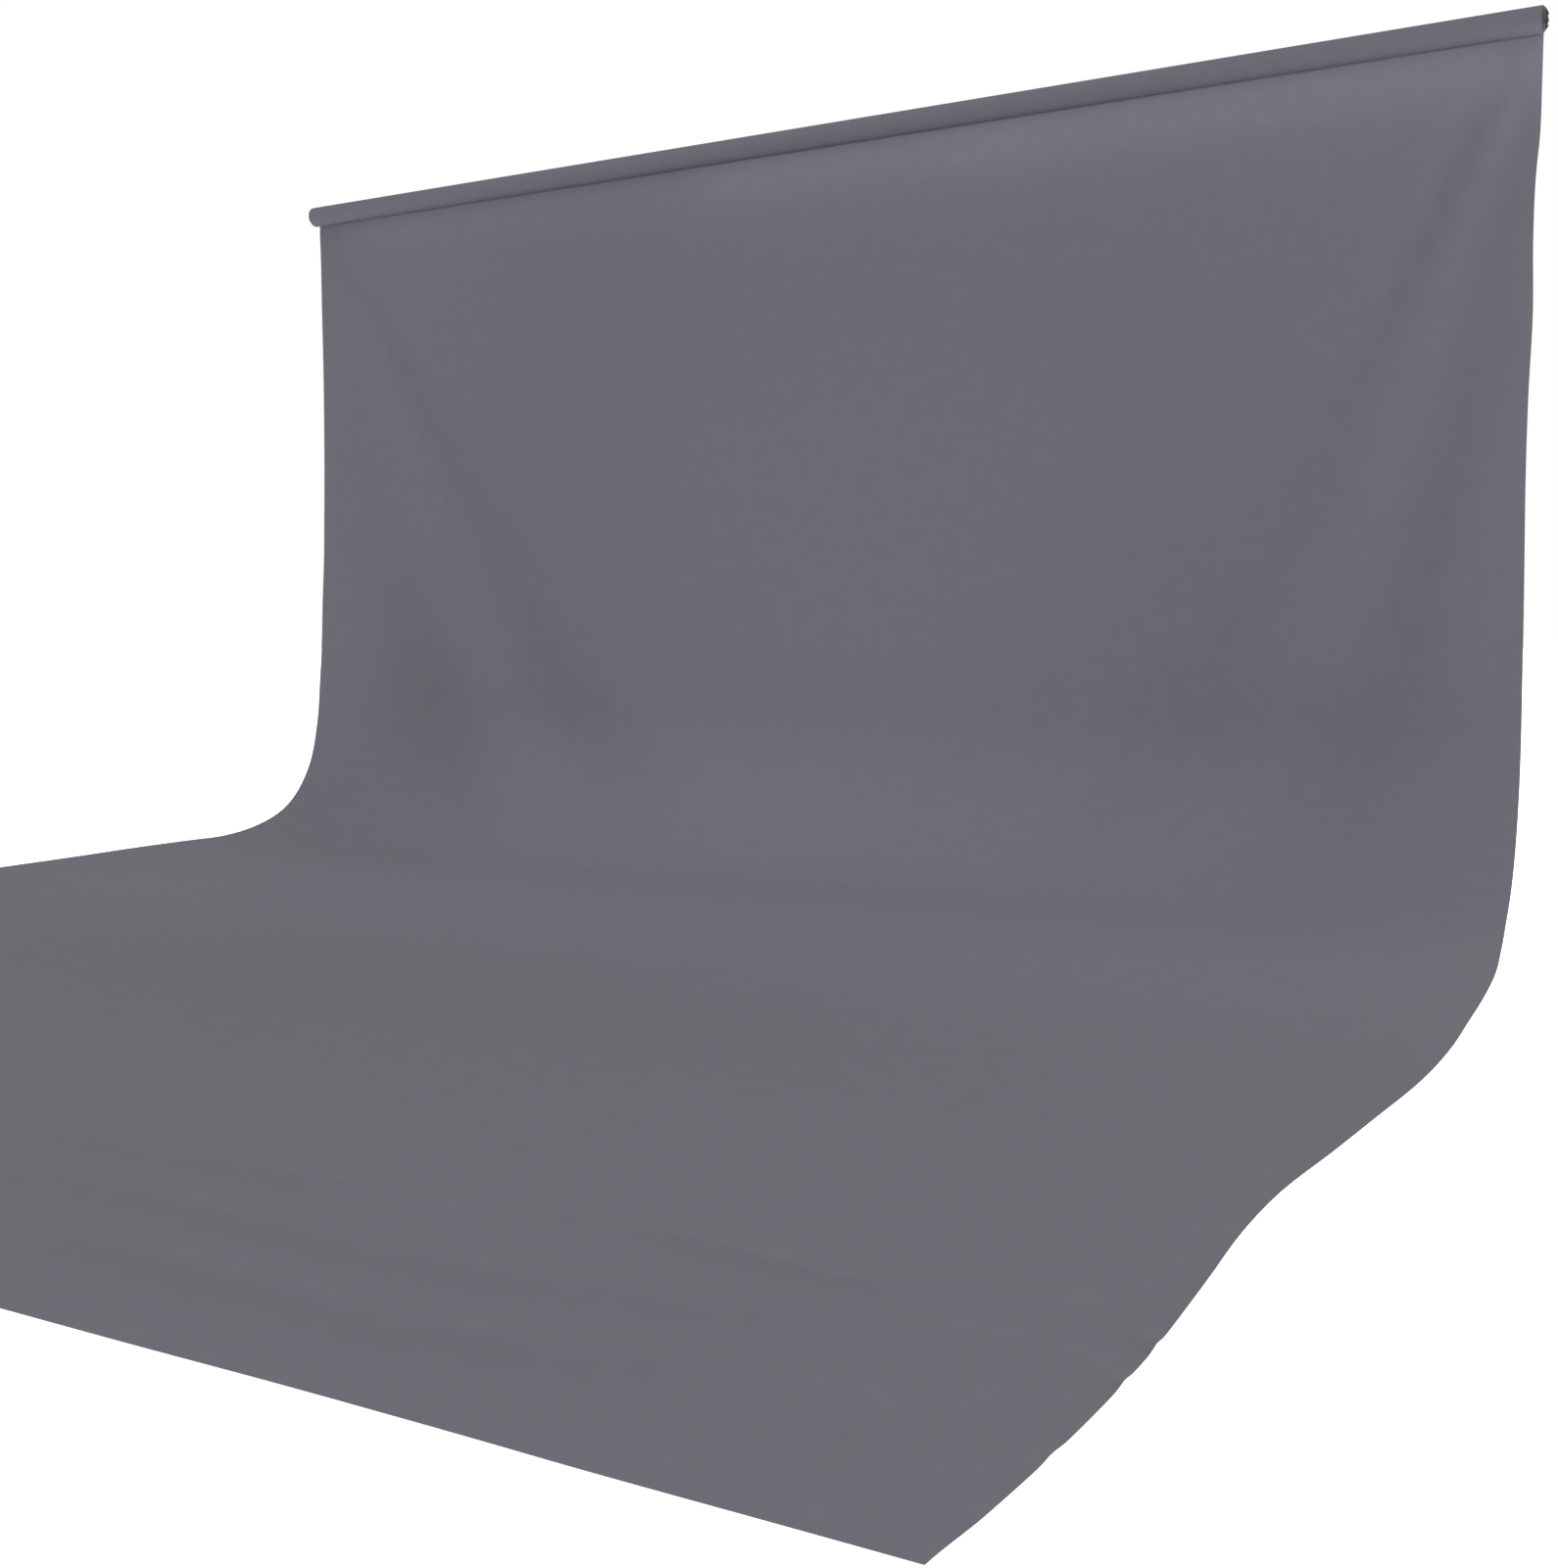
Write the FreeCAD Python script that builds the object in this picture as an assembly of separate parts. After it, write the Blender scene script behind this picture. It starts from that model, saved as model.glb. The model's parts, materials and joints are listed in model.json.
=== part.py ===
import FreeCAD, Part
import math
import os

# A roll of seamless background paper, hung by its two ends, with the sheet drawn
# down behind the roll and swept forward over the floor.
#
# Row frame, millimetres: the origin is on the roll's axis in the plane of the core's
# left end. +X runs along the axis to the right end, +Y points back to the wall, +Z up.
# The apron runs forward, towards -Y.

# ---- driving dimensions ------------------------------------------------------------

PAPER_WIDTH = 3550.0          # standard wide studio roll; the core is cut to the same length
CORE_OUTER_R = 27.8           # spiral-wound cardboard tube, 51 mm bore
CORE_WALL = 2.3
WOUND_OUTER_R = 28.4          # three turns are left on the core

AXIS_HEIGHT = 1922.0          # roll axis above the floor
SHEET_THICKNESS = 1.6         # stand-in for 0.2 mm paper
SHEET_GAP = 0.4               # between the hanging sheet and the back of the roll
STRAIGHT_DROP = 1020.0        # plumb part of the hanging sheet, from the axis down
LEAN_RADIUS = 2600.0          # slow forward lean above the sweep
LEAN_ANGLE = 11.0             # degrees turned by the lean
APRON_REACH = 3180.0          # roll axis to the front edge of the apron

TAPE_THICKNESS = 0.3          # tape that starts the paper on the core
TAPE_WIDTH = 60.0
TAPE_ARC = 100.0              # degrees
TAPE_COUNT = 4

# Expanding core plug. u runs along the axis out of the roll's end, 0 at the core's end.
FLANGE_R = 27.4
FLANGE_RIM = 1.0              # thickness at the rim
FLANGE_CROWN = 6.0            # height of its dome, next to the knob
PLUG_R = 25.2                 # barrel, an easy push fit in the 51 mm core
PLUG_WALL = 4.2
COLLAR_DEPTH = 10.0           # flange collar inside the core
PLUG_DEPTH = 74.0             # inner end of the barrel
THRUST_THICKNESS = 4.0        # shoulder that the knob pulls against

JAW_COUNT = 3
JAW_WIDTH = 23.0
JAW_OUTER = (-24.0, -62.0)    # u of the jaw's two ends
JAW_FACE_R = 24.0
JAW_THROAT_R = 15.8           # keeps a released jaw off the draw screw
PAD_FACE_R = 25.45            # rubber pad pressed to the inside of the core
PAD_ENDS = (-31.0, -55.0)
PAD_RIBS = 8
PAD_RIB_HEIGHT = 0.6
PAD_RIB_SHARE = 0.6           # of the rib spacing
GUIDE_GAP = 0.3               # jaw to window, each side

CONE_SLOPE = 12.0             # degrees
CONE_ENDS = (-31.0, -57.0)    # u of the small and the large end, tightened
CONE_LARGE_R = 20.6
CONE_GAP = 0.3                # cone to jaw, square to the axis
DRAW_TRAVEL = 7.5             # cone travel from tight to released
KEY_WIDTH = 5.0
KEY_R = 22.2
KEY_LENGTH = 9.0

SCREW_R = 13.8
SCREW_BORE_R = 11.0
SCREW_INNER_END = -63.0
THREAD_PITCH = 5.0
THREAD_DEPTH = 0.9
THREAD_CREST = 1.6

KNOB_R = 20.6
KNOB_BACK = -9.7
KNOB_FACE = 5.0
KNOB_EDGE = 1.2
KNOB_RIB_SINK = 0.5           # ribs start this far inside the knob's face
KNOB_RIB_ENDS = (13.0, 19.6)  # radii
KNOB_RIB_COUNT = 6
KNOB_RIB_WIDTH = 3.2

SOCKET_BORE_R = 8.1           # takes a 16 mm stand spigot
SOCKET_R = 10.0
SOCKET_MOUTH = 9.6
SOCKET_INNER_END = -80.0
SOCKET_STOP = -74.0           # depth at which the spigot meets the stop disc
STOP_R = 8.6                  # disc in its counterbore at the tube's inner end

BEARING_ENDS = (-66.0, -73.0)  # 20 x 32 x 7 mm ball bearing
BEARING_R = 16.0
BALL_R = 1.6
BALL_COUNT = 12
BALL_CLEARANCE = 0.05
RING_WALL = 1.9
CAGE_WALL = 0.8

GARTER_PLACES = (-27.0, -59.0)
GARTER_R = 24.3
GARTER_WIRE_R = 0.8
GARTER_SIDE_ROOM = 0.3
GARTER_FLOOR_ROOM = 0.1

SCREW_HEAD_R = 2.0
SCREW_HEAD_ENDS = (1.5, 2.8)  # sunk under the dome
SCREW_SLOT = (0.7, 0.6)       # width and depth
SCREW_HEAD_ROOM = 0.1
SCREW_SHANK_R = 1.1
SCREW_PITCH_R = 23.6
FLANGE_SCREW_LENGTH = 16.0

RUN_FIT = 0.06                # radial clearance of the turning fits
CHAMFER = 0.5

# ---- derived -------------------------------------------------------------------------

CORE_INNER_R = CORE_OUTER_R - CORE_WALL
PLUG_BORE_R = PLUG_R - PLUG_WALL
CROWN_R = PLUG_BORE_R + 1     # radius where the dome is highest
# the one sphere that the flange's dome and the knob's ribs are cut to
DOME_CENTRE = ((FLANGE_CROWN ** 2 + CROWN_R ** 2 - FLANGE_RIM ** 2 - FLANGE_R ** 2)
               / (2 * (FLANGE_CROWN - FLANGE_RIM)))
DOME_R = math.hypot(FLANGE_RIM - DOME_CENTRE, FLANGE_R)
FLOOR = -AXIS_HEIGHT
BALL_PITCH_R = (SOCKET_R + BEARING_R) / 2
TAN_SLOPE = math.tan(math.radians(CONE_SLOPE))
X_AXIS = FreeCAD.Vector(1, 0, 0)
ORIGIN = FreeCAD.Vector(0, 0, 0)


# ---- helpers ---------------------------------------------------------------------------

def turned(profile):
    """Solid of revolution about X from a closed outline of (u, r) points."""
    points = [FreeCAD.Vector(u, 0, r) for u, r in profile]
    wire = Part.makePolygon(points + points[:1])
    return Part.Face(wire).revolve(ORIGIN, X_AXIS, 360)


def ring(r_in, r_out, u0, u1, edge=0.0):
    """Tube between two places on the axis, its outer edges chamfered by edge."""
    low, high = sorted((u0, u1))
    return turned([
        (low, r_in),
        (low, r_out - edge),
        (low + edge, r_out),
        (high - edge, r_out),
        (high, r_out - edge),
        (high, r_in),
    ] if edge else [(low, r_in), (low, r_out), (high, r_out), (high, r_in)])


def rod(radius, u0, u1):
    low, high = sorted((u0, u1))
    return Part.makeCylinder(radius, high - low, FreeCAD.Vector(low, 0, 0), X_AXIS)


def bar(u0, u1, width, r0, r1):
    """Box along the axis, width across, from r0 to r1 above the axis."""
    low, high = sorted((u0, u1))
    corner = FreeCAD.Vector(low, -width / 2, r0)
    return Part.makeBox(high - low, width, r1 - r0, corner)


def turn(shape, degrees):
    copy = shape.copy()
    copy.rotate(ORIGIN, X_AXIS, degrees)
    return copy


def around(shape, count, start=0.0):
    """Copies of a shape spaced evenly round the axis."""
    return [turn(shape, start + 360.0 * i / count) for i in range(count)]


def only_solid(shape):
    """The one solid of a boolean's result, free of splitting seams."""
    solids = shape.removeSplitter().Solids
    assert len(solids) == 1, f"expected one solid, found {len(solids)}"
    return solids[0]


# ---- paper and core ----------------------------------------------------------------------

def core_tube():
    return ring(CORE_INNER_R, CORE_OUTER_R, 0, PAPER_WIDTH)


def start_tapes():
    """Short tapes that hold the paper's first edge to the core."""
    blank = ring(CORE_OUTER_R, CORE_OUTER_R + TAPE_THICKNESS, 0, TAPE_WIDTH)
    reach = 2 * CORE_OUTER_R
    keep = Part.makeCylinder(reach, TAPE_WIDTH, ORIGIN, X_AXIS, TAPE_ARC)
    tape = only_solid(blank.common(keep))
    spacing = PAPER_WIDTH / TAPE_COUNT
    tapes = []
    for i in range(TAPE_COUNT):
        copy = tape.copy()
        copy.translate(FreeCAD.Vector(spacing * (i + 0.5) - TAPE_WIDTH / 2, 0, 0))
        tapes.append(copy)
    return Part.makeCompound(tapes)


def wound_paper(tapes):
    """The turns still on the core, as one sleeve with room for the tapes under it."""
    sleeve = ring(CORE_OUTER_R, WOUND_OUTER_R, 0, PAPER_WIDTH)
    return only_solid(sleeve.cut(tapes))


def paper_sheet():
    """The drawn-out sheet: plumb drop, slow lean, sweep on to the floor, apron."""
    lean = math.radians(LEAN_ANGLE)
    back_y = WOUND_OUTER_R + SHEET_GAP + SHEET_THICKNESS
    lean_end_z = -STRAIGHT_DROP - LEAN_RADIUS * math.sin(lean)
    sweep_radius = (lean_end_z - FLOOR) / (1 - math.sin(lean))
    lean_centre = (back_y - LEAN_RADIUS, -STRAIGHT_DROP)
    sweep_centre = (
        lean_centre[0] + (LEAN_RADIUS - sweep_radius) * math.cos(lean),
        FLOOR + sweep_radius,
    )

    def side(inset):
        """One face of the sheet, inset from its back and underside."""
        def on(centre, radius, angle):
            y = centre[0] + (radius - inset) * math.cos(angle)
            z = centre[1] - (radius - inset) * math.sin(angle)
            return FreeCAD.Vector(0, y, z)
        top = FreeCAD.Vector(0, back_y - inset, 0)
        bend = on(lean_centre, LEAN_RADIUS, 0)
        join = on(lean_centre, LEAN_RADIUS, lean)
        landing = on(sweep_centre, sweep_radius, math.pi / 2)
        front = FreeCAD.Vector(0, -APRON_REACH, FLOOR + inset)
        lean_middle = on(lean_centre, LEAN_RADIUS, lean / 2)
        sweep_middle = on(sweep_centre, sweep_radius, (lean + math.pi / 2) / 2)
        return top, front, [
            Part.makeLine(top, bend),
            Part.Arc(bend, lean_middle, join).toShape(),
            Part.Arc(join, sweep_middle, landing).toShape(),
            Part.makeLine(landing, front),
        ]

    back_top, back_front, back_edges = side(0)
    face_top, face_front, face_edges = side(SHEET_THICKNESS)
    ends = [Part.makeLine(back_top, face_top), Part.makeLine(back_front, face_front)]
    outline = Part.Wire(Part.__sortEdges__(back_edges + face_edges + ends))
    return Part.Face(outline).extrude(FreeCAD.Vector(PAPER_WIDTH, 0, 0))


# ---- expanding core plug -------------------------------------------------------------------

def flange_screw_holes(radius, u0, u1):
    """Three rods where the flange screws run, between the keyways and the windows."""
    hole = Part.makeCylinder(
        radius, abs(u1 - u0), FreeCAD.Vector(min(u0, u1), 0, SCREW_PITCH_R), X_AXIS)
    return around(hole, JAW_COUNT)


def dome():
    return Part.makeSphere(DOME_R, FreeCAD.Vector(DOME_CENTRE, 0, 0))


def end_flange():
    """Dark domed end plate that caps the core, with a collar inside it."""
    top = FLANGE_CROWN + CHAMFER
    body = turned([
        (-COLLAR_DEPTH, PLUG_BORE_R),
        (-COLLAR_DEPTH, PLUG_R),
        (0, PLUG_R),
        (0, FLANGE_R),
        (top, FLANGE_R),
        (top, PLUG_BORE_R + 2 * CHAMFER),
        (top - 2 * CHAMFER, PLUG_BORE_R),
    ]).common(dome())
    seat = SCREW_HEAD_ENDS[0]
    holes = flange_screw_holes(SCREW_SHANK_R, -COLLAR_DEPTH, seat)
    sinks = flange_screw_holes(SCREW_HEAD_R + SCREW_HEAD_ROOM, seat, top)
    return only_solid(body.cut(holes + sinks))


def flange_screws():
    """Three slotted screws that draw the flange on to the barrel."""
    seat, top = SCREW_HEAD_ENDS
    width, depth = SCREW_SLOT
    heads = flange_screw_holes(SCREW_HEAD_R, seat, top)
    shanks = flange_screw_holes(SCREW_SHANK_R, seat - FLANGE_SCREW_LENGTH, seat)
    slot = bar(top - depth, top + 1, width,
               SCREW_PITCH_R - SCREW_HEAD_R, SCREW_PITCH_R + SCREW_HEAD_R)
    slots = around(slot, JAW_COUNT)
    return Part.makeCompound([
        only_solid(head.fuse(shank).cut(cut)) for head, shank, cut in zip(heads, shanks, slots)
    ])


def garter_grooves(surface):
    """Rings to cut the spring grooves out of a round surface."""
    half = GARTER_WIRE_R + GARTER_SIDE_ROOM
    floor = GARTER_R - GARTER_WIRE_R - GARTER_FLOOR_ROOM
    return [ring(floor, surface + 1, u - half, u + half) for u in GARTER_PLACES]


def plug_barrel():
    """Nylon body with three jaw windows, three keyways and the bearing seat."""
    shoulder = -COLLAR_DEPTH - THRUST_THICKNESS
    body = turned([
        (-COLLAR_DEPTH, SCREW_R + RUN_FIT),
        (-COLLAR_DEPTH, PLUG_R),
        (-PLUG_DEPTH + CHAMFER, PLUG_R),
        (-PLUG_DEPTH, PLUG_R - CHAMFER),
        (-PLUG_DEPTH, BEARING_R),
        (BEARING_ENDS[0], BEARING_R),
        (BEARING_ENDS[0], PLUG_BORE_R),
        (shoulder, PLUG_BORE_R),
        (shoulder, SCREW_R + RUN_FIT),
    ])
    window = bar(JAW_OUTER[0] + GUIDE_GAP, JAW_OUTER[1] - GUIDE_GAP,
                 JAW_WIDTH + 2 * GUIDE_GAP, SCREW_R, PLUG_R + 1)
    keyway = bar(CONE_ENDS[1] - DRAW_TRAVEL - 1, CONE_ENDS[1] + KEY_LENGTH + 1,
                 KEY_WIDTH + 2 * GUIDE_GAP, SCREW_R, KEY_R + GUIDE_GAP)
    cuts = around(window, JAW_COUNT, 60) + around(keyway, JAW_COUNT) + garter_grooves(PLUG_R)
    cuts += flange_screw_holes(SCREW_SHANK_R, SCREW_HEAD_ENDS[0] - FLANGE_SCREW_LENGTH, 0)
    return only_solid(body.cut(cuts))


def cone_radius(u):
    """Radius of the spreader cone at u, tightened."""
    return CONE_LARGE_R - (u - CONE_ENDS[1]) * TAN_SLOPE


def jaw():
    """One gripping jaw, pointing up: outside round, inside tapered to ride the cone."""
    outer, inner = JAW_OUTER
    taper_end = CONE_ENDS[1] + (CONE_LARGE_R + CONE_GAP - JAW_THROAT_R) / TAN_SLOPE
    body = turned([
        (outer, JAW_THROAT_R),
        (outer, JAW_FACE_R),
        (inner, JAW_FACE_R),
        (inner, cone_radius(inner) + CONE_GAP),
        (taper_end, JAW_THROAT_R),
    ])
    column = bar(inner, outer, JAW_WIDTH, 0, PLUG_R)
    return only_solid(body.common(column).cut(garter_grooves(JAW_FACE_R)))


def jaw_pad():
    """Ribbed rubber facing bonded to the jaw."""
    outer, inner = PAD_ENDS
    pitch = (outer - inner) / PAD_RIBS
    base = ring(JAW_FACE_R, PAD_FACE_R - PAD_RIB_HEIGHT, inner, outer)
    ridges = [
        ring(JAW_FACE_R, PAD_FACE_R, inner + pitch * i, inner + pitch * (i + PAD_RIB_SHARE))
        for i in range(PAD_RIBS)
    ]
    column = bar(inner, outer, JAW_WIDTH - 1, 0, PLUG_R + 1)
    return only_solid(base.fuse(ridges).common(column))


def spreader_cone():
    """Brass cone nut that the screw draws outwards under the jaws."""
    small, large = CONE_ENDS
    bore = SCREW_R + RUN_FIT
    body = turned([
        (large, bore),
        (large, CONE_LARGE_R),
        (small, cone_radius(small)),
        (small, bore),
    ])
    key = bar(large, large + KEY_LENGTH, KEY_WIDTH, bore + 0.6, KEY_R)
    return only_solid(body.fuse(around(key, JAW_COUNT)))


def draw_screw():
    """Hollow steel screw: plain journal at the shoulder, thread drawn as ring grooves."""
    journal_end = -COLLAR_DEPTH - THRUST_THICKNESS - 1
    outline = [
        (SCREW_INNER_END, SCREW_BORE_R),
        (KNOB_FACE - 1, SCREW_BORE_R),
        (KNOB_FACE - 1, SCREW_R),
        (journal_end, SCREW_R),
    ]
    groove = journal_end - THREAD_PITCH / 2
    while groove - THREAD_PITCH > SCREW_INNER_END:
        outline += [
            (groove, SCREW_R),
            (groove - THREAD_DEPTH / 2, SCREW_R - THREAD_DEPTH),
            (groove - THREAD_DEPTH / 2 - THREAD_CREST, SCREW_R - THREAD_DEPTH),
            (groove - THREAD_DEPTH - THREAD_CREST, SCREW_R),
        ]
        groove -= THREAD_PITCH
    outline += [(SCREW_INNER_END, SCREW_R)]
    return turned(outline)


def tension_knob():
    """Hand wheel: a disc with raised finger ribs that follow the flange's dome."""
    disc = turned([
        (KNOB_BACK, SCREW_R),
        (KNOB_BACK, KNOB_R),
        (KNOB_FACE - KNOB_EDGE, KNOB_R),
        (KNOB_FACE, KNOB_R - KNOB_EDGE),
        (KNOB_FACE, SCREW_BORE_R),
        (KNOB_FACE - 1, SCREW_BORE_R),
        (KNOB_FACE - 1, SCREW_R),
    ])
    rib = bar(KNOB_FACE - KNOB_RIB_SINK, SOCKET_MOUTH + 1, KNOB_RIB_WIDTH, *KNOB_RIB_ENDS)
    rib = rib.common(dome())
    return only_solid(disc.fuse(around(rib, KNOB_RIB_COUNT, 30)))


def nose_bush():
    """Plain bush inside the screw's outer end, turning on the socket tube."""
    return ring(SOCKET_R + RUN_FIT, SCREW_BORE_R, KNOB_BACK, KNOB_FACE, CHAMFER / 2)


def garter_springs():
    """Two spring rings that draw the jaws in when the cone is released."""
    return Part.makeCompound([
        Part.makeTorus(GARTER_R, GARTER_WIRE_R, FreeCAD.Vector(u, 0, 0), X_AXIS)
        for u in GARTER_PLACES
    ])


def race(r_in, r_out):
    """One bearing ring with its ball groove."""
    middle = sum(BEARING_ENDS) / 2
    groove = Part.makeTorus(
        BALL_PITCH_R, BALL_R + BALL_CLEARANCE, FreeCAD.Vector(middle, 0, 0), X_AXIS)
    return only_solid(ring(r_in, r_out, *BEARING_ENDS, 0.3).cut(groove))


def ball_centre():
    return FreeCAD.Vector(sum(BEARING_ENDS) / 2, 0, BALL_PITCH_R)


def bearing_balls():
    ball = Part.makeSphere(BALL_R, ball_centre())
    return Part.makeCompound(around(ball, BALL_COUNT))


def bearing_cage():
    """Cylindrical cage with one round pocket for each ball."""
    half = BALL_R + 0.9
    middle = sum(BEARING_ENDS) / 2
    band = ring(BALL_PITCH_R - CAGE_WALL / 2, BALL_PITCH_R + CAGE_WALL / 2,
                middle - half, middle + half)
    pocket = Part.makeSphere(BALL_R + BALL_CLEARANCE, ball_centre())
    return only_solid(band.cut(around(pocket, BALL_COUNT)))


def spigot_socket():
    """Fixed steel tube on the axis, with a groove for its circlip."""
    tube = turned([
        (SOCKET_INNER_END, STOP_R),
        (SOCKET_INNER_END, SOCKET_R - CHAMFER),
        (SOCKET_INNER_END + CHAMFER, SOCKET_R),
        (SOCKET_MOUTH - CHAMFER, SOCKET_R),
        (SOCKET_MOUTH, SOCKET_R - CHAMFER),
        (SOCKET_MOUTH, SOCKET_BORE_R),
        (SOCKET_STOP, SOCKET_BORE_R),
        (SOCKET_STOP, STOP_R),
    ])
    seat = BEARING_ENDS[1]
    return only_solid(tube.cut(ring(SOCKET_R - 0.6, SOCKET_R + 1, seat - 1.3, seat - 0.1)))


def spigot_stop():
    """Disc pressed in the tube's inner end, where the spigot stops."""
    return rod(STOP_R, SOCKET_INNER_END + 1, SOCKET_STOP)


def socket_circlip():
    """Open spring ring that keeps the bearing on the tube."""
    seat = BEARING_ENDS[1]
    blank = ring(SOCKET_R - 0.6, SOCKET_R + 1.8, seat - 1.25, seat - 0.15)
    opening = bar(seat - 2, seat + 1, 5.0, 0, SOCKET_R + 3)
    return only_solid(blank.cut(opening))


# ---- assembly --------------------------------------------------------------------------------

def plug_parts():
    """Node name to shape for one plug, in its own u frame."""
    parts = {
        "end_flange": end_flange(),
        "flange_screws": flange_screws(),
        "plug_barrel": plug_barrel(),
        "spreader_cone": spreader_cone(),
        "draw_screw": draw_screw(),
        "tension_knob": tension_knob(),
        "nose_bush": nose_bush(),
        "garter_springs": garter_springs(),
        "bearing_outer_ring": race(BALL_PITCH_R + BALL_R - 0.5, BEARING_R),
        "bearing_inner_ring": race(SOCKET_R, BALL_PITCH_R - BALL_R + 0.5),
        "bearing_balls": bearing_balls(),
        "bearing_cage": bearing_cage(),
        "spigot_socket": spigot_socket(),
        "spigot_stop": spigot_stop(),
        "socket_circlip": socket_circlip(),
    }
    jaws = around(jaw(), JAW_COUNT, 60)
    pads = around(jaw_pad(), JAW_COUNT, 60)
    for number, (one_jaw, one_pad) in enumerate(zip(jaws, pads), 1):
        parts[f"grip_jaw_{number}"] = one_jaw
        parts[f"jaw_pad_{number}"] = one_pad
    return parts


def all_parts():
    tapes = start_tapes()
    parts = {
        "core_tube": core_tube(),
        "start_tapes": tapes,
        "wound_paper": wound_paper(tapes),
        "paper_sheet": paper_sheet(),
    }
    right_end = FreeCAD.Vector(PAPER_WIDTH, 0, 0)
    half_turn = FreeCAD.Rotation(FreeCAD.Vector(0, 0, 1), 180)
    for name, shape in plug_parts().items():
        right = shape.copy()
        right.translate(right_end)
        parts[f"right_{name}"] = right
        left = shape.copy()
        left.Placement = FreeCAD.Placement(ORIGIN, half_turn).multiply(left.Placement)
        parts[f"left_{name}"] = left
    return parts


os.makedirs("parts", exist_ok=True)
for node, shape in all_parts().items():
    assert shape.isValid(), f"{node} is not a valid shape"
    shape.exportStep(f"parts/{node}.step")
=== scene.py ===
import bpy
import json
import math
import numpy as np
from mathutils import Matrix, Vector


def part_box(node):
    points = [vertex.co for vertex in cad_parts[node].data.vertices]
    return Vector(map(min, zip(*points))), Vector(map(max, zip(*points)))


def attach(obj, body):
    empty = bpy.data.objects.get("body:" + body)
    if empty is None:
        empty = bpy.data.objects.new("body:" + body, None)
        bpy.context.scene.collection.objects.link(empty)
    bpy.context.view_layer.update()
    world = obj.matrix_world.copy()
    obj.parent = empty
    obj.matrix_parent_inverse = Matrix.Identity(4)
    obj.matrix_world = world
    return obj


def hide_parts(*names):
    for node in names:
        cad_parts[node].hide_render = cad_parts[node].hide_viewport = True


# A wide roll of grey background paper hung by its two ends. The sheet comes off the
# back of the roll, drops plumb, leans forward and sweeps on to the floor as an apron.
# Metres: X along the roll to its right end, Y back to the wall, Z up.

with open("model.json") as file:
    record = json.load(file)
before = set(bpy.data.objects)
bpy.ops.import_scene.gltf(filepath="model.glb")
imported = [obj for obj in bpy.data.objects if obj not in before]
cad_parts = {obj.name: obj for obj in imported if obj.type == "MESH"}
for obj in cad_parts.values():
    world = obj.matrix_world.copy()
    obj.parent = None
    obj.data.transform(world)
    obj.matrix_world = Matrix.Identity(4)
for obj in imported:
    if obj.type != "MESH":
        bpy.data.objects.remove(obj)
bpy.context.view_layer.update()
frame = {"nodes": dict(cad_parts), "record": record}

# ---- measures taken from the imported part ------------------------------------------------

ROLL_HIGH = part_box("wound_paper")[1]
SHEET_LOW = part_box("paper_sheet")[0]
PAPER_WIDTH = ROLL_HIGH.x
ROLL_R = ROLL_HIGH.z
CORE_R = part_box("core_tube")[1].z
FLOOR = SHEET_LOW.z
FRONT_EDGE = -SHEET_LOW.y

# ---- the sheet's own measures -----------------------------------------------------------

PAPER = 0.0004                # two thicknesses of the real paper, so that its edge shows
CLEAR = 0.0001                # sheet to roll
WRAP = math.radians(100)      # how far the sheet lies round the roll, over its top and back
DROP = 1.02                   # plumb part
LEAN_R = 2.6                  # the bend from plumb into the lean
LEAN = math.radians(11)       # how far it leans forward where the sweep starts
EDGE_SLACK = 0.002            # the front edge is a little longer than it lies in CAD

HUG_R = ROLL_R + CLEAR + PAPER / 2
GROUND = FLOOR + PAPER / 2
LEAN_END = -DROP - LEAN_R * math.sin(LEAN)
SWEEP_R = (LEAN_END - GROUND) / (1 - math.sin(LEAN))
SWEEP_Y = HUG_R - LEAN_R + (LEAN_R - SWEEP_R) * math.cos(LEAN)

# path lengths from the level of the roll's axis
LEAN_START_S = DROP
SWEEP_START_S = DROP + LEAN_R * LEAN
APRON_START_S = SWEEP_START_S + SWEEP_R * (math.pi / 2 - LEAN)
SHEET_END_S = APRON_START_S + SWEEP_Y + FRONT_EDGE + EDGE_SLACK
WRAP_LENGTH = WRAP * HUG_R


# ---- small tools ------------------------------------------------------------------------

def linear(code):
    """Linear colour from an sRGB hex code such as 6C6B73."""
    parts = [int(code[i:i + 2], 16) / 255 for i in (0, 2, 4)]
    return tuple(c / 12.92 if c <= 0.04045 else ((c + 0.055) / 1.055) ** 2.4
                 for c in parts) + (1.0,)


def add_node(tree, kind, links=None, **settings):
    """One shader node: settings are its own fields, links its inputs by name or number."""
    made = tree.nodes.new("ShaderNode" + kind)
    for field, value in settings.items():
        setattr(made, field, value)
    for socket, value in (links or {}).items():
        if isinstance(value, bpy.types.NodeSocket):
            tree.links.new(value, made.inputs[socket])
        else:
            made.inputs[socket].default_value = value
    return made


def new_material(name):
    """A material with one Principled shader, and Object coordinates to draw patterns on."""
    made = bpy.data.materials.new(name)
    made.use_nodes = True
    tree = made.node_tree
    tree.nodes.clear()
    out = add_node(tree, "OutputMaterial")
    shader = add_node(tree, "BsdfPrincipled")
    tree.links.new(shader.outputs["BSDF"], out.inputs["Surface"])
    place = add_node(tree, "TexCoord").outputs["Object"]
    return made, tree, shader, place


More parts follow.
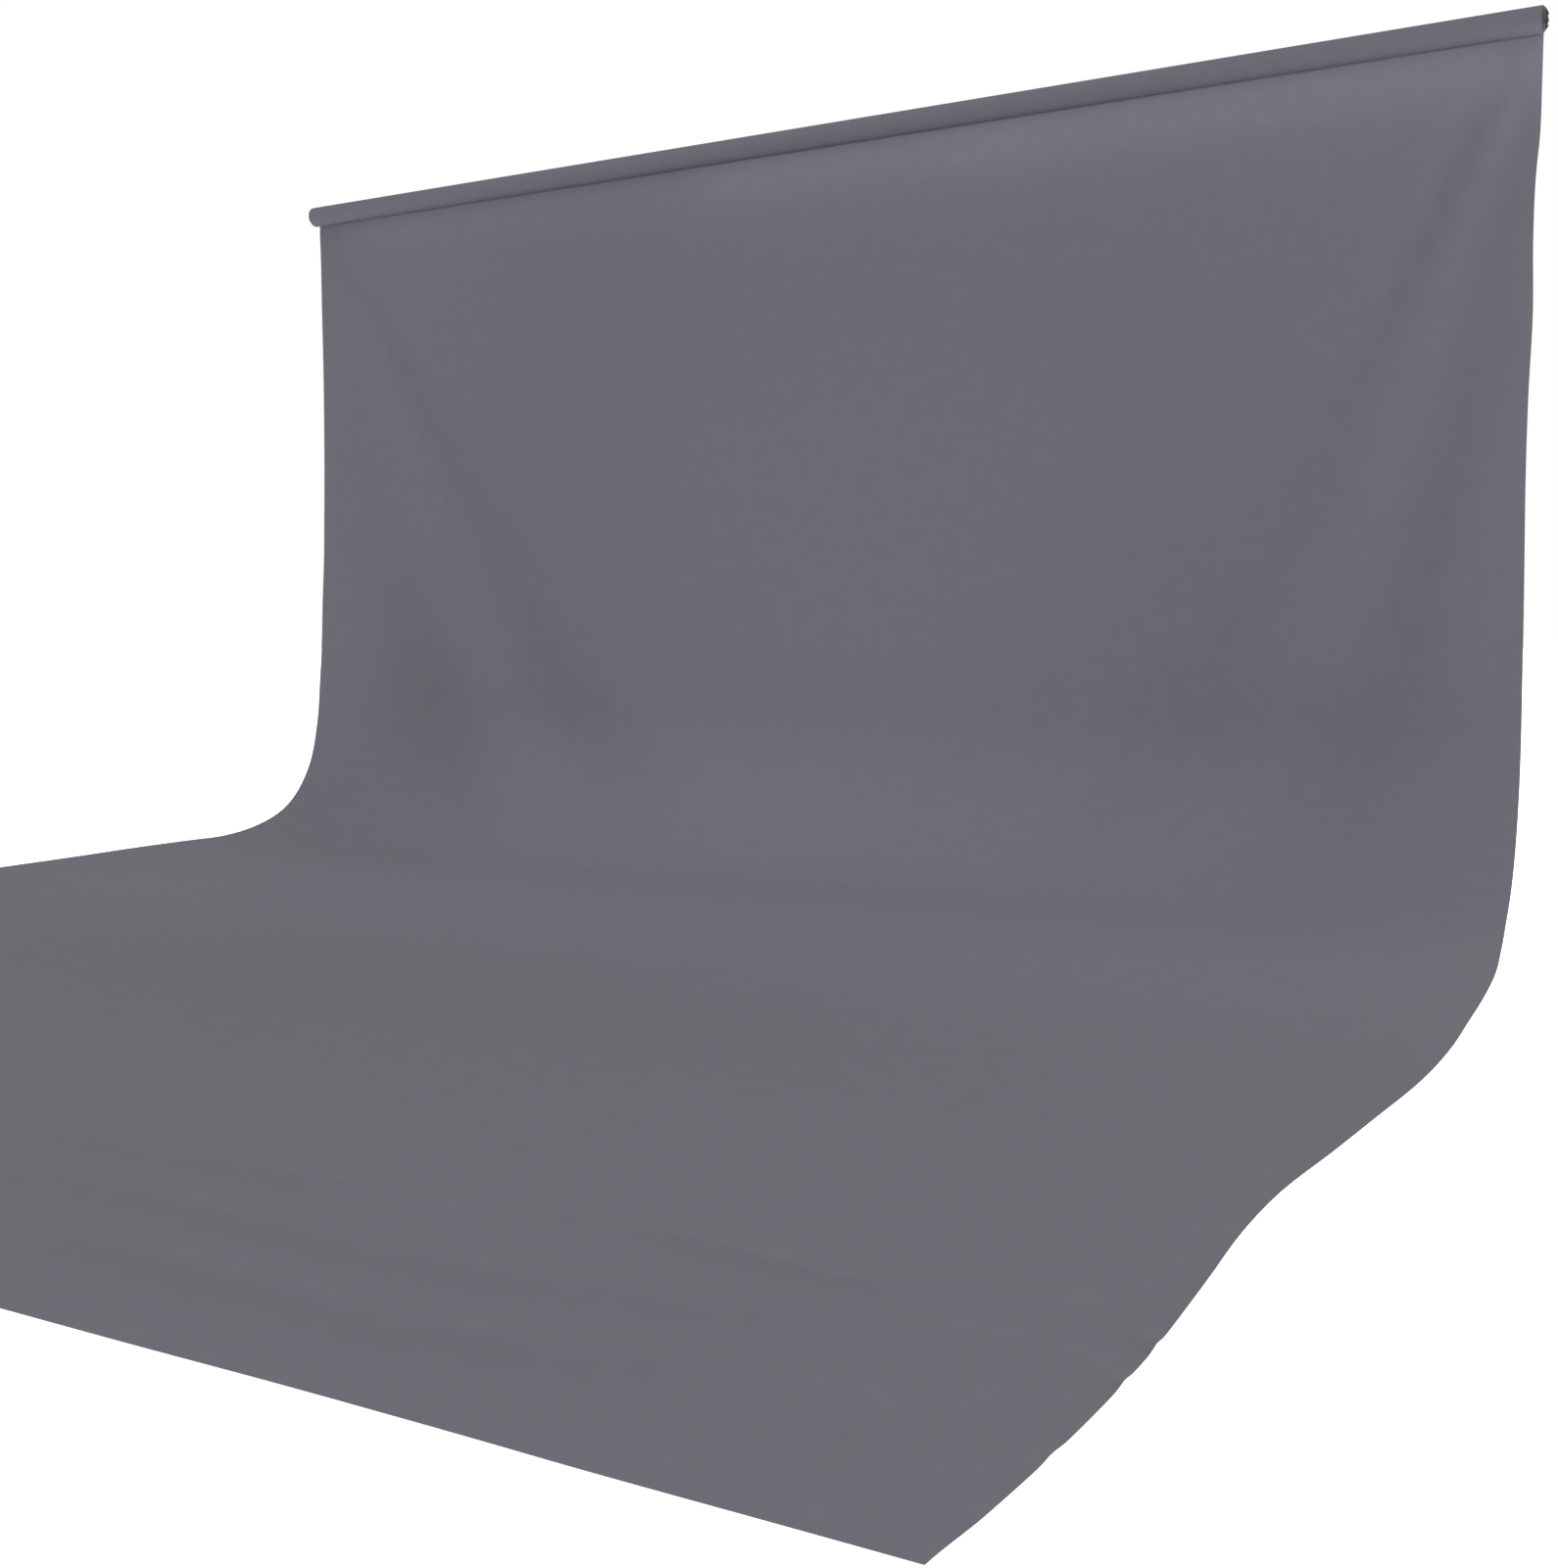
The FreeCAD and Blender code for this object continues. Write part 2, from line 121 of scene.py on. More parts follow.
def curve_through(points, at):
    """Smooth curve through a few (place, value) points, flat past its ends."""
    places, values = (np.array(c, float) for c in zip(*points))
    slopes = np.gradient(values, places)
    slopes[0] = slopes[-1] = 0
    at = np.clip(at, places[0], places[-1])
    k = np.clip(np.searchsorted(places, at, side="right") - 1, 0, len(places) - 2)
    span = places[k + 1] - places[k]
    t = (at - places[k]) / span
    return ((2 * t ** 3 - 3 * t ** 2 + 1) * values[k] + (t ** 3 - 2 * t ** 2 + t) * span * slopes[k]
            + (3 * t ** 2 - 2 * t ** 3) * values[k + 1] + (t ** 3 - t ** 2) * span * slopes[k + 1])


def smooth_step(low, high, at):
    t = np.clip((at - low) / (high - low), 0, 1)
    return t * t * (3 - 2 * t)


# ---- the hanging sheet --------------------------------------------------------------------

# How far each edge stands out past the roll's end, in mm, at path lengths in metres. On
# the right the hanging part is drawn in and the apron fans out. On the left the hanging
# part stands out and the sweep is drawn in.
RIGHT_EDGE = [(-0.05, 0), (0.02, -1), (0.12, -1), (0.24, -2), (0.31, -7), (0.45, -9),
              (0.61, -5), (0.8, -9), (1.0, -9), (1.2, -5), (1.6, 6), (1.9, 18), (2.1, 27),
              (2.3, 44), (2.55, 65), (2.8, 76), (3.0, 80), (3.2, 83), (3.4, 77), (3.65, 55),
              (3.8, 41), (4.0, 21), (4.13, 18), (4.3, 24), (4.5, 28), (4.65, 23), (4.8, 11),
              (4.9, 0)]
LEFT_EDGE = [(-0.05, 2), (0.04, 10), (0.2, 16), (0.5, 23), (0.8, 30), (1.0, 37),
             (1.2, 42), (1.35, 34), (1.5, 25), (1.6, 14), (1.75, -14), (1.9, -30),
             (2.05, -14), (2.3, 6), (2.7, 8), (3.4, 10), (4.3, 8), (4.9, 0)]

# How far the left edge stands off the floor, in mm, the same way.
LEFT_LIFT = [(1.9, 0), (2.15, 16), (2.4, 17), (2.7, 14), (3.9, 8), (4.8, 0)]

# How far forward the front edge bows, in mm, at places across the sheet in metres.
FRONT_BOW = [(0, 3), (2.3, 5), (2.65, 7.5), (2.9, 8.5), (3.09, 8.5), (3.22, 5), (3.35, 2),
             (3.55, 1)]

# Soft folds: points (across, path length) in metres with the half width and height in mm
# there. A negative height is a hollow. Each top corner has a fan of four, hollow, ridge,
# hollow, ridge, that spread as they go down.
HANGING_FOLDS = [
    [(0.00, 0.06, 25, 0), (0.02, 0.25, 42, -6), (0.035, 0.48, 66, -12), (0.07, 0.70, 90, -17),
     (0.18, 1.25, 145, -19), (0.36, 1.70, 180, -11), (0.56, 1.95, 200, -8), (1.04, 2.50, 240, 0)],
    [(0.03, 0.06, 25, 0), (0.09, 0.25, 42, 6), (0.165, 0.48, 66, 12), (0.25, 0.70, 86, 16),
     (0.48, 1.25, 135, 18), (0.72, 1.70, 170, 11), (0.91, 1.95, 190, 10), (1.45, 2.50, 240, 0)],
    [(0.08, 0.06, 25, 0), (0.18, 0.25, 40, -7), (0.26, 0.41, 60, -10), (0.38, 0.65, 80, -11),
     (0.51, 0.88, 105, -10), (0.82, 1.43, 140, -7), (1.18, 1.88, 180, -8), (1.80, 2.50, 240, 0)],
    [(0.13, 0.06, 25, 0), (0.26, 0.25, 40, 7), (0.36, 0.41, 60, 9), (0.51, 0.65, 80, 9),
     (0.69, 0.88, 105, 8), (1.02, 1.43, 140, 6), (1.50, 1.88, 190, 8), (2.15, 2.50, 260, 0)],
    [(3.45, 0.08, 22, 0), (3.40, 0.20, 28, -3.5), (3.345, 0.32, 40, -5), (3.26, 0.50, 50, -4.5),
     (3.145, 0.70, 68, -4), (3.03, 0.92, 85, -4), (2.87, 1.15, 105, -4), (2.72, 1.33, 125, -5.5),
     (2.62, 1.58, 140, -4.5), (2.50, 1.90, 160, -3), (2.40, 2.20, 170, 0)],
    [(3.50, 0.08, 22, 0), (3.46, 0.20, 28, 3), (3.415, 0.32, 38, 4), (3.34, 0.50, 48, 4),
     (3.255, 0.70, 66, 4), (3.17, 0.92, 80, 4.5), (3.07, 1.15, 100, 4.5), (2.975, 1.33, 115, 6),
     (2.86, 1.58, 130, 4.5), (2.73, 1.90, 150, 3), (2.65, 2.20, 170, 0)],
    [(3.52, 0.08, 22, 0), (3.495, 0.24, 30, -1.5), (3.47, 0.36, 40, -2), (3.425, 0.52, 50, -3.5),
     (3.355, 0.80, 70, -5.5), (3.28, 1.06, 80, -6), (3.225, 1.25, 92, -6), (3.155, 1.46, 105, -4.5),
     (3.055, 1.70, 120, -3.5), (2.95, 1.96, 150, -2), (2.85, 2.20, 160, 0)],
    [(3.55, 0.08, 22, 0), (3.55, 0.36, 40, 2), (3.53, 0.52, 50, 2.5), (3.505, 0.80, 65, 3.5),
     (3.44, 1.06, 75, 4.5), (3.42, 1.25, 88, 4), (3.38, 1.46, 100, 3), (3.30, 1.70, 120, 2.5),
     (3.25, 1.96, 150, 1.5), (3.20, 2.20, 160, 0)],
]
# Low waves that run across the front of the apron.
FLOOR_FOLDS = [
    [(2.20, 4.60, 32, 0), (2.45, 4.60, 32, 6), (2.86, 4.61, 31, 9), (3.20, 4.57, 30, 7),
     (3.52, 4.49, 30, 0)],
    [(2.40, 4.72, 30, 0), (2.65, 4.73, 30, 8), (2.94, 4.735, 30, 10), (3.25, 4.70, 30, 8),
     (3.50, 4.63, 30, 0)],
    [(2.40, 4.89, 34, 0), (2.80, 4.90, 32, 5), (3.14, 4.87, 30, 5), (3.47, 4.82, 28, 0)],
    [(2.12, 4.49, 26, 0), (2.37, 4.48, 26, 7), (2.60, 4.47, 26, 6), (2.82, 4.47, 26, 0)],
    [(2.85, 4.44, 22, 0), (3.05, 4.43, 22, 5), (3.25, 4.45, 22, 5), (3.50, 4.39, 22, 0)],
    [(0.05, 4.52, 30, 0), (0.45, 4.60, 31, 8), (0.90, 4.63, 33, 8), (1.35, 4.60, 34, 0)],
    [(0.03, 4.66, 30, 0), (0.40, 4.74, 31, 9), (0.85, 4.77, 33, 9), (1.25, 4.74, 34, 0)],
]
# Short wrinkles at the apron's right edge.
EDGE_WRINKLES = [
    [(3.50, 4.44, 11, 0), (3.57, 4.47, 11, 3.0), (3.63, 4.52, 11, 0)],
    [(3.48, 4.52, 12, 0), (3.56, 4.55, 12, 2.5), (3.62, 4.60, 12, 0)],
    [(3.38, 4.74, 14, 0), (3.50, 4.72, 13, 3.0), (3.60, 4.66, 12, 0)],
    [(3.20, 4.80, 12, 0), (3.32, 4.80, 12, 2.0), (3.42, 4.77, 12, 0)],
]
FOLD_STEPS = 60               # short straight steps along a fold's line

# Path lengths over which a feature comes in or dies out.
FOLDS_COME_IN = (0.03, 0.12)
FOLDS_DIE_OUT = (APRON_START_S - 0.4, APRON_START_S + 0.5)
FLOOR_COMES_IN = (APRON_START_S - 0.45, APRON_START_S + 0.05)
TURN_BACK_COMES_IN = (0.02, 0.1)
TURN_BACK_DIES_OUT = (1.1, 1.5)
BOW_COMES_IN = (4.6, SHEET_END_S)

TURN_BACK = 0.004             # the hanging left edge turns back by this much
TURN_BACK_WIDTH = 0.012
EDGE_POWER = 3                # an edge's wave dies out inwards with this power of the width
LIFT_POWER = 6                # and its lift with this one


def sheet_profile(s):
    """(y, z) of the sheet at path length s, and the direction its face looks."""
    y, z = np.full_like(s, HUG_R), -s.copy()
    turned = np.zeros_like(s)
    roll = s < 0
    turned[roll] = s[roll] / HUG_R
    y[roll], z[roll] = HUG_R * np.cos(turned[roll]), -HUG_R * np.sin(turned[roll])
    lean = (s >= LEAN_START_S) & (s < SWEEP_START_S)
    turned[lean] = (s[lean] - LEAN_START_S) / LEAN_R
    y[lean] = HUG_R - LEAN_R + LEAN_R * np.cos(turned[lean])
    z[lean] = -DROP - LEAN_R * np.sin(turned[lean])
    sweep = (s >= SWEEP_START_S) & (s < APRON_START_S)
    turned[sweep] = LEAN + (s[sweep] - SWEEP_START_S) / SWEEP_R
    y[sweep] = SWEEP_Y + SWEEP_R * np.cos(turned[sweep])
    z[sweep] = GROUND + SWEEP_R - SWEEP_R * np.sin(turned[sweep])
    apron = s >= APRON_START_S
    turned[apron] = math.pi / 2
    y[apron], z[apron] = SWEEP_Y - (s[apron] - APRON_START_S), GROUND
    return y, z, -np.cos(turned), np.sin(turned)


def fold_height(across, s, points):
    """Height in metres of one soft fold at every place of the sheet."""
    points = np.array(points, float)
    run = np.concatenate([[0], np.cumsum(np.hypot(*np.diff(points[:, :2], axis=0).T))])
    fine = np.linspace(0, run[-1], FOLD_STEPS)
    line_x, line_s, width, height = (curve_through(list(zip(run, points[:, k])), fine)
                                     for k in range(4))
    nearest = np.full(across.shape, 1e9)
    along = np.zeros(across.shape)
    for k in range(len(fine) - 1):
        dx, ds = line_x[k + 1] - line_x[k], line_s[k + 1] - line_s[k]
        t = np.clip(((across - line_x[k]) * dx + (s - line_s[k]) * ds) / (dx * dx + ds * ds), 0, 1)
        far = np.hypot(across - line_x[k] - t * dx, s - line_s[k] - t * ds)
        closer = far < nearest
        nearest = np.where(closer, far, nearest)
        along = np.where(closer, k + t, along)
    steps = np.arange(len(fine))
    width = np.interp(along, steps, width)
    return np.interp(along, steps, height) / 1000 * np.exp(-(nearest * 1000 / width) ** 2)


def sheet_surface(a, s):
    """Points of the sheet's middle at places a across and s along it."""
    y, z, face_y, face_z = sheet_profile(s)
    share = a / PAPER_WIDTH
    x = a + (curve_through(RIGHT_EDGE, s) * share ** EDGE_POWER
             - curve_through(LEFT_EDGE, s) * (1 - share) ** EDGE_POWER) / 1000
    hang = sum(fold_height(a, s, fold) for fold in HANGING_FOLDS)
    hang *= smooth_step(*FOLDS_COME_IN, s) * (1 - smooth_step(*FOLDS_DIE_OUT, s))
    lie = sum(fold_height(a, s, fold) for fold in FLOOR_FOLDS + EDGE_WRINKLES)
    # the left edge doesn't lie down: it curls up off the floor
    lift = (curve_through(LEFT_LIFT, s) / 1000) * (1 - share) ** LIFT_POWER
    height = hang + lie + lift
    # hollows can't go below the floor
    on_floor = smooth_step(*FLOOR_COMES_IN, s)
    height = np.where(height < 0, height * (1 - on_floor), height)
    height -= (TURN_BACK * (1 - smooth_step(0, TURN_BACK_WIDTH, a))
               * smooth_step(*TURN_BACK_COMES_IN, s) * (1 - smooth_step(*TURN_BACK_DIES_OUT, s)))
    bow = curve_through(FRONT_BOW, a) / 1000 * smooth_step(*BOW_COMES_IN, s)
    return np.stack([x, y + height * face_y - bow, z + height * face_z], axis=1)


def even_steps(*runs):
    """Places from (start, end, step) runs laid end to end."""
    places = [runs[0][0]]
    for start, end, step in runs:
        count = max(1, round((end - start) / step))
        places += [start + (end - start) * (i + 1) / count for i in range(count)]
    return np.array(places)


# The sheet's grid as (start, end, step) runs: fine at the edges, round the roll and over
# the folds, coarse in the plain middle.
ACROSS_RUNS = [(0, 0.012, 0.003), (0.012, 0.06, 0.012), (0.06, 1.5, 0.0165),
               (1.5, 2.3, 0.033), (2.3, PAPER_WIDTH - 0.06, 0.0165),
               (PAPER_WIDTH - 0.06, PAPER_WIDTH - 0.012, 0.012),
               (PAPER_WIDTH - 0.012, PAPER_WIDTH, 0.003)]
DOWN_RUNS = [(-WRAP_LENGTH, 0, 0.0035), (0, 0.06, 0.01), (0.06, 2.5, 0.024),
             (2.5, 4.3, 0.045), (4.3, SHEET_END_S, 0.0095)]


def make_sheet():
    """The drawn-out paper: a flat grid laid on to the sheet's surface, then thickened."""
    across = even_steps(*ACROSS_RUNS)
    down = even_steps(*DOWN_RUNS)
    bpy.ops.mesh.primitive_grid_add(
        x_subdivisions=len(across) - 1, y_subdivisions=len(down) - 1, size=2)
    sheet = bpy.context.object
    sheet.name = sheet.data.name = "background_sheet"
    flat = np.zeros(len(sheet.data.vertices) * 3)
    sheet.data.vertices.foreach_get("co", flat)
    flat = flat.reshape(-1, 3)
    i = np.rint((flat[:, 0] + 1) / 2 * (len(across) - 1)).astype(int)
    j = np.rint((flat[:, 1] + 1) / 2 * (len(down) - 1)).astype(int)
    placed = sheet_surface(across[i], down[j])
    sheet.data.vertices.foreach_set("co", placed.ravel())
    sheet.data.update()
    thick = sheet.modifiers.new("paper thickness", "SOLIDIFY")
    thick.thickness = PAPER
    thick.offset = 0
    bpy.ops.object.modifier_apply(modifier=thick.name)
    bpy.ops.object.shade_smooth_by_angle(angle=math.radians(40))
    return sheet


# ---- the turns still on the core ------------------------------------------------------------

TURN = 0.0002                 # one turn of paper
TURN_STEP = 0.00012           # how far alternate turns stand proud of each other at the ends
STEP_EDGE = 0.00001           # width of the slope from one turn to the next
CORE_GAP = 0.00002            # innermost turn to core
ROLL_SIDES = 160


def make_roll():
    """The wound turns: a tube whose ends step in and out, one ring for each turn."""
    bpy.ops.object.select_all(action="DESELECT")
    bpy.ops.mesh.primitive_cylinder_add(
        vertices=ROLL_SIDES, radius=ROLL_R, depth=PAPER_WIDTH - 2 * TURN_STEP,
        location=(PAPER_WIDTH / 2, 0, 0), rotation=(0, math.pi / 2, 0))
    roll = bpy.context.object
    roll.name = roll.data.name = "paper_turns"
    bpy.ops.object.transform_apply(location=True, rotation=True, scale=True)
    turns = int(round((ROLL_R - CORE_R) / TURN))
    bpy.ops.object.mode_set(mode="EDIT")
    bpy.ops.mesh.select_mode(type="FACE")
    bpy.ops.mesh.select_all(action="DESELECT")
    bpy.ops.object.mode_set(mode="OBJECT")
    for face in roll.data.polygons:
        face.select = abs(face.normal.x) > 0.9
    bpy.ops.object.mode_set(mode="EDIT")
    for turn in range(turns):
        last = turn == turns - 1
        bpy.ops.mesh.inset(thickness=(ROLL_R - CORE_R) / turns - (CORE_GAP if last else 0),
                           depth=0)
        if not last:
            bpy.ops.mesh.inset(thickness=STEP_EDGE, depth=TURN_STEP if turn % 2 else -TURN_STEP)
    bpy.ops.mesh.delete(type="ONLY_FACE")
    bpy.ops.mesh.select_mode(type="EDGE")
    bpy.ops.mesh.select_all(action="DESELECT")
    bpy.ops.mesh.select_non_manifold()
    bpy.ops.mesh.bridge_edge_loops()
    bpy.ops.mesh.select_all(action="SELECT")
    bpy.ops.mesh.normals_make_consistent(inside=False)
    bpy.ops.object.mode_set(mode="OBJECT")
    bpy.ops.object.shade_smooth_by_angle(angle=math.radians(30))
    return roll


# ---- materials --------------------------------------------------------------------------------

CLOUD_MM = 35.7               # patches of slightly different density in the paper
FIBRE_MM = 2.38               # tufts of fibre
FLOW_MM = 12                  # how wide a patch of slightly different colour is in a moulding
FILM_MM = 9                   # patches of the oil film on turned metal
RING_DEPTH_MM = 0.01
STRIP_PITCH_MM = 110          # the core's paper strips advance this far in one turn
SEAM_MM = 1.5
FLECK_MM = 1.5                # fibre flecks in the cardboard
CREPE_MM = 1.2                # cross ribs of the tape


def background_paper():
    """Seamless paper: dyed, uncoated wood-fibre paper, dead matt, faintly cloudy."""
    made, tree, shader, place = new_material("seamless_paper_uncoated_grey")
    cloud = add_node(tree, "TexNoise", {"Vector": place, "Scale": 1000 / CLOUD_MM,
                                        "Detail": 3.0, "Roughness": 0.55})
    fibre = add_node(tree, "TexNoise", {"Vector": place, "Scale": 1000 / FIBRE_MM,
                                        "Detail": 4.0, "Roughness": 0.7})
    mixed = add_node(tree, "Math", {0: cloud.outputs["Fac"], 1: fibre.outputs["Fac"]},
                     operation="ADD")
    tone = add_node(tree, "ValToRGB", {"Fac": add_node(
        tree, "Math", {0: mixed.outputs[0], 1: 0.5}, operation="MULTIPLY").outputs[0]})
    tone.color_ramp.elements[0].position = 0.35
    tone.color_ramp.elements[0].color = linear("6A6971")
    tone.color_ramp.elements[1].position = 0.65
    tone.color_ramp.elements[1].color = linear("6E6D75")
    tree.links.new(tone.outputs["Color"], shader.inputs["Base Color"])
    bump = add_node(tree, "Bump", {"Height": fibre.outputs["Fac"], "Strength": 0.25,
                                   "Distance": 0.0002})
    tree.links.new(bump.outputs["Normal"], shader.inputs["Normal"])
    shader.inputs["Roughness"].default_value = 0.92
    shader.inputs["Specular IOR Level"].default_value = 0.25
    return made


def moulded(name, dark, light, grain_mm, roughness, ior, bump_mm):
    """Moulded plastic or rubber: one colour right through, slightly uneven where the melt
    flowed, with the fine sparked grain of the mould on its skin."""
    made, tree, shader, place = new_material(name)
    flow = add_node(tree, "TexNoise", {"Vector": place, "Scale": 1000 / FLOW_MM, "Detail": 3.0})
    grain = add_node(tree, "TexNoise", {"Vector": place, "Scale": 1000 / grain_mm, "Detail": 3.0,
                                        "Roughness": 0.6})
    tone = add_node(tree, "ValToRGB", {"Fac": flow.outputs["Fac"]})
    tone.color_ramp.elements[0].position = 0.3
    tone.color_ramp.elements[0].color = linear(dark)
    tone.color_ramp.elements[1].position = 0.7
    tone.color_ramp.elements[1].color = linear(light)
    rough = add_node(tree, "MapRange", {"Value": grain.outputs["Fac"], 3: roughness - 0.07,
                                        4: roughness + 0.07})
    bump = add_node(tree, "Bump", {"Height": grain.outputs["Fac"], "Strength": 0.6,
                                   "Distance": bump_mm / 1000})
    tree.links.new(tone.outputs["Color"], shader.inputs["Base Color"])
    tree.links.new(rough.outputs["Result"], shader.inputs["Roughness"])
    tree.links.new(bump.outputs["Normal"], shader.inputs["Normal"])
    shader.inputs["IOR"].default_value = ior
    return made


def turned_metal(name, dark, light, ring_mm, roughness):
    """Metal turned or ground round the roll's axis: fine rings left by the tool, and a
    thin uneven film of oil that dulls it in places."""
    made, tree, shader, place = new_material(name)
    flat = add_node(tree, "VectorMath", {0: place, 1: (0, 1, 1)}, operation="MULTIPLY")
    out = add_node(tree, "VectorMath", {0: flat.outputs["Vector"]}, operation="LENGTH")
    along = add_node(tree, "SeparateXYZ", {0: place})
    ring_place = add_node(tree, "CombineXYZ", {"X": along.outputs["X"],
                                               "Y": out.outputs["Value"]})
    rings = add_node(tree, "TexNoise", {"Vector": ring_place.outputs["Vector"],
                                        "Scale": 1000 / ring_mm, "Detail": 2.0})
    film = add_node(tree, "TexNoise", {"Vector": place, "Scale": 1000 / FILM_MM, "Detail": 3.0})
    tone = add_node(tree, "ValToRGB", {"Fac": rings.outputs["Fac"]})
    tone.color_ramp.elements[0].position = 0.3
    tone.color_ramp.elements[0].color = linear(dark)
    tone.color_ramp.elements[1].position = 0.7
    tone.color_ramp.elements[1].color = linear(light)
    rough = add_node(tree, "MapRange", {"Value": film.outputs["Fac"], 1: 0.3, 2: 0.7,
                                        3: roughness - 0.05, 4: roughness + 0.1})
    bump = add_node(tree, "Bump", {"Height": rings.outputs["Fac"], "Strength": 0.5,
                                   "Distance": RING_DEPTH_MM / 1000})
    tree.links.new(tone.outputs["Color"], shader.inputs["Base Color"])
    tree.links.new(rough.outputs["Result"], shader.inputs["Roughness"])
    tree.links.new(bump.outputs["Normal"], shader.inputs["Normal"])
    shader.inputs["Metallic"].default_value = 1.0
    return made


def core_cardboard():
    """Spiral-wound cardboard: grey-brown recycled kraft in strips, with a dark seam that
    winds round the tube and short flecks of fibre."""
    made, tree, shader, place = new_material("spiral_wound_kraft_cardboard")
    along = add_node(tree, "SeparateXYZ", {0: place})
    angle = add_node(tree, "Math", {0: along.outputs["Z"], 1: along.outputs["Y"]},
                     operation="ARCTAN2")
    turn = add_node(tree, "Math", {0: angle.outputs[0], 1: 2 * math.pi}, operation="DIVIDE")
    step = add_node(tree, "Math", {0: along.outputs["X"], 1: 1000 / STRIP_PITCH_MM,
                                   2: turn.outputs[0]}, operation="MULTIPLY_ADD")
    strip = add_node(tree, "Math", {0: step.outputs[0]}, operation="FRACT")
    seam = add_node(tree, "MapRange", {"Value": strip.outputs[0], 1: 0.0,
                                       2: SEAM_MM / STRIP_PITCH_MM, 3: 0.35, 4: 0.0})
    fleck = add_node(tree, "TexNoise", {"Vector": place, "Scale": 1000 / FLECK_MM, "Detail": 4.0,
                                        "Roughness": 0.7})
    mixed = add_node(tree, "Math", {0: fleck.outputs["Fac"], 1: seam.outputs["Result"]},
                     operation="SUBTRACT")
    tone = add_node(tree, "ValToRGB", {"Fac": mixed.outputs[0]})
    tone.color_ramp.elements[0].position = 0.2
    tone.color_ramp.elements[0].color = linear("7E6A52")
    tone.color_ramp.elements[1].position = 0.7
    tone.color_ramp.elements[1].color = linear("A48D70")
    bump = add_node(tree, "Bump", {"Height": mixed.outputs[0], "Strength": 0.5,
                                   "Distance": 0.0002})
    tree.links.new(tone.outputs["Color"], shader.inputs["Base Color"])
    tree.links.new(bump.outputs["Normal"], shader.inputs["Normal"])
    shader.inputs["Roughness"].default_value = 0.88
    return made


def masking_tape():
    """Creped paper tape: pale tan, with the small cross ribs of the creping and a soft
    sheen from its release coat."""
    made, tree, shader, place = new_material("creped_masking_tape")
    stretched = add_node(tree, "Mapping", {"Vector": place, "Scale": (1, 0.2, 0.2)})
    crepe = add_node(tree, "TexNoise", {"Vector": stretched.outputs["Vector"],
                                        "Scale": 1000 / CREPE_MM, "Detail": 2.0})
    tone = add_node(tree, "ValToRGB", {"Fac": crepe.outputs["Fac"]})
    tone.color_ramp.elements[0].color = linear("BFAB82")
    tone.color_ramp.elements[1].color = linear("D2C098")
    bump = add_node(tree, "Bump", {"Height": crepe.outputs["Fac"], "Strength": 0.6,
                                   "Distance": 0.0001})
    tree.links.new(tone.outputs["Color"], shader.inputs["Base Color"])
    tree.links.new(bump.outputs["Normal"], shader.inputs["Normal"])
    shader.inputs["Roughness"].default_value = 0.5
    return made


# The hidden plugs are small, and real mould grain and tool rings are a tenth of a
# millimetre or less, so both are drawn three to five times coarser, to show.
FINISHES = {
    "cardboard": core_cardboard(),
    "tape": masking_tape(),
    "black_nylon": moulded("glass_filled_nylon_black", "232228", "2B2A30", 0.5, 0.6, 1.53, 0.03),
    "knob_nylon": moulded("hand_wheel_nylon_black", "211F26", "2B2930", 0.5, 0.42, 1.53, 0.02),
    "bush_plastic": moulded("acetal_bush_natural", "D3D0C5", "DFDCD3", 0.7, 0.38, 1.48, 0.01),
    "cage_plastic": moulded("polyamide_cage_amber", "725335", "84623F", 0.6, 0.45, 1.53, 0.02),
    "rubber": moulded("gripping_rubber_black", "191819", "212023", 0.6, 0.85, 1.52, 0.04),
    "brass": turned_metal("turned_brass", "A88D50", "C0A566", 0.35, 0.3),
    "steel": turned_metal("turned_steel", "98999B", "B1B2B4", 0.35, 0.36),
    "zinc_screw": turned_metal("zinc_plated_screws", "65666A", "7A7B7F", 0.4, 0.42),
    "bearing_steel": turned_metal("ground_bearing_steel", "BCBDBF", "C8C9CB", 0.25, 0.17),
    "socket_tube": turned_metal("phosphated_steel_tube", "444448", "535357", 0.4, 0.48),
}

# ---- build ------------------------------------------------------------------------------------

paper = background_paper()
bpy.ops.object.select_all(action="DESELECT")
sheet = make_sheet()
roll = make_roll()
for piece, body, node_name in ((sheet, "sheet_and_sockets", "paper_sheet"),
                               (roll, "roll", "wound_paper")):
    piece.data.materials.clear()
    piece.data.materials.append(paper)
    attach(piece, body)
    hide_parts(node_name)
for part in frame["record"]["subparts"]:
    if part["material_slot"] in FINISHES:
        cad_mesh = frame["nodes"][part["node"]].data
        cad_mesh.materials.clear()
        cad_mesh.materials.append(FINISHES[part["material_slot"]])

# ---- floor, light and camera -------------------------------------------------------------------

bpy.ops.mesh.primitive_plane_add(size=120, location=(PAPER_WIDTH / 2, 0, FLOOR - 0.0005))
floor = bpy.context.object
floor.name = "studio_floor"
# Painted white floor, lit from all round: it glows, so that no shadow edge shows.
white, _, shader, _ = new_material("painted_studio_floor_white")
shader.inputs["Base Color"].default_value = linear("F4F4F4")
shader.inputs["Roughness"].default_value = 0.8
shader.inputs["Emission Color"].default_value = (1, 1, 1, 1)
shader.inputs["Emission Strength"].default_value = 0.95
floor.data.materials.append(white)

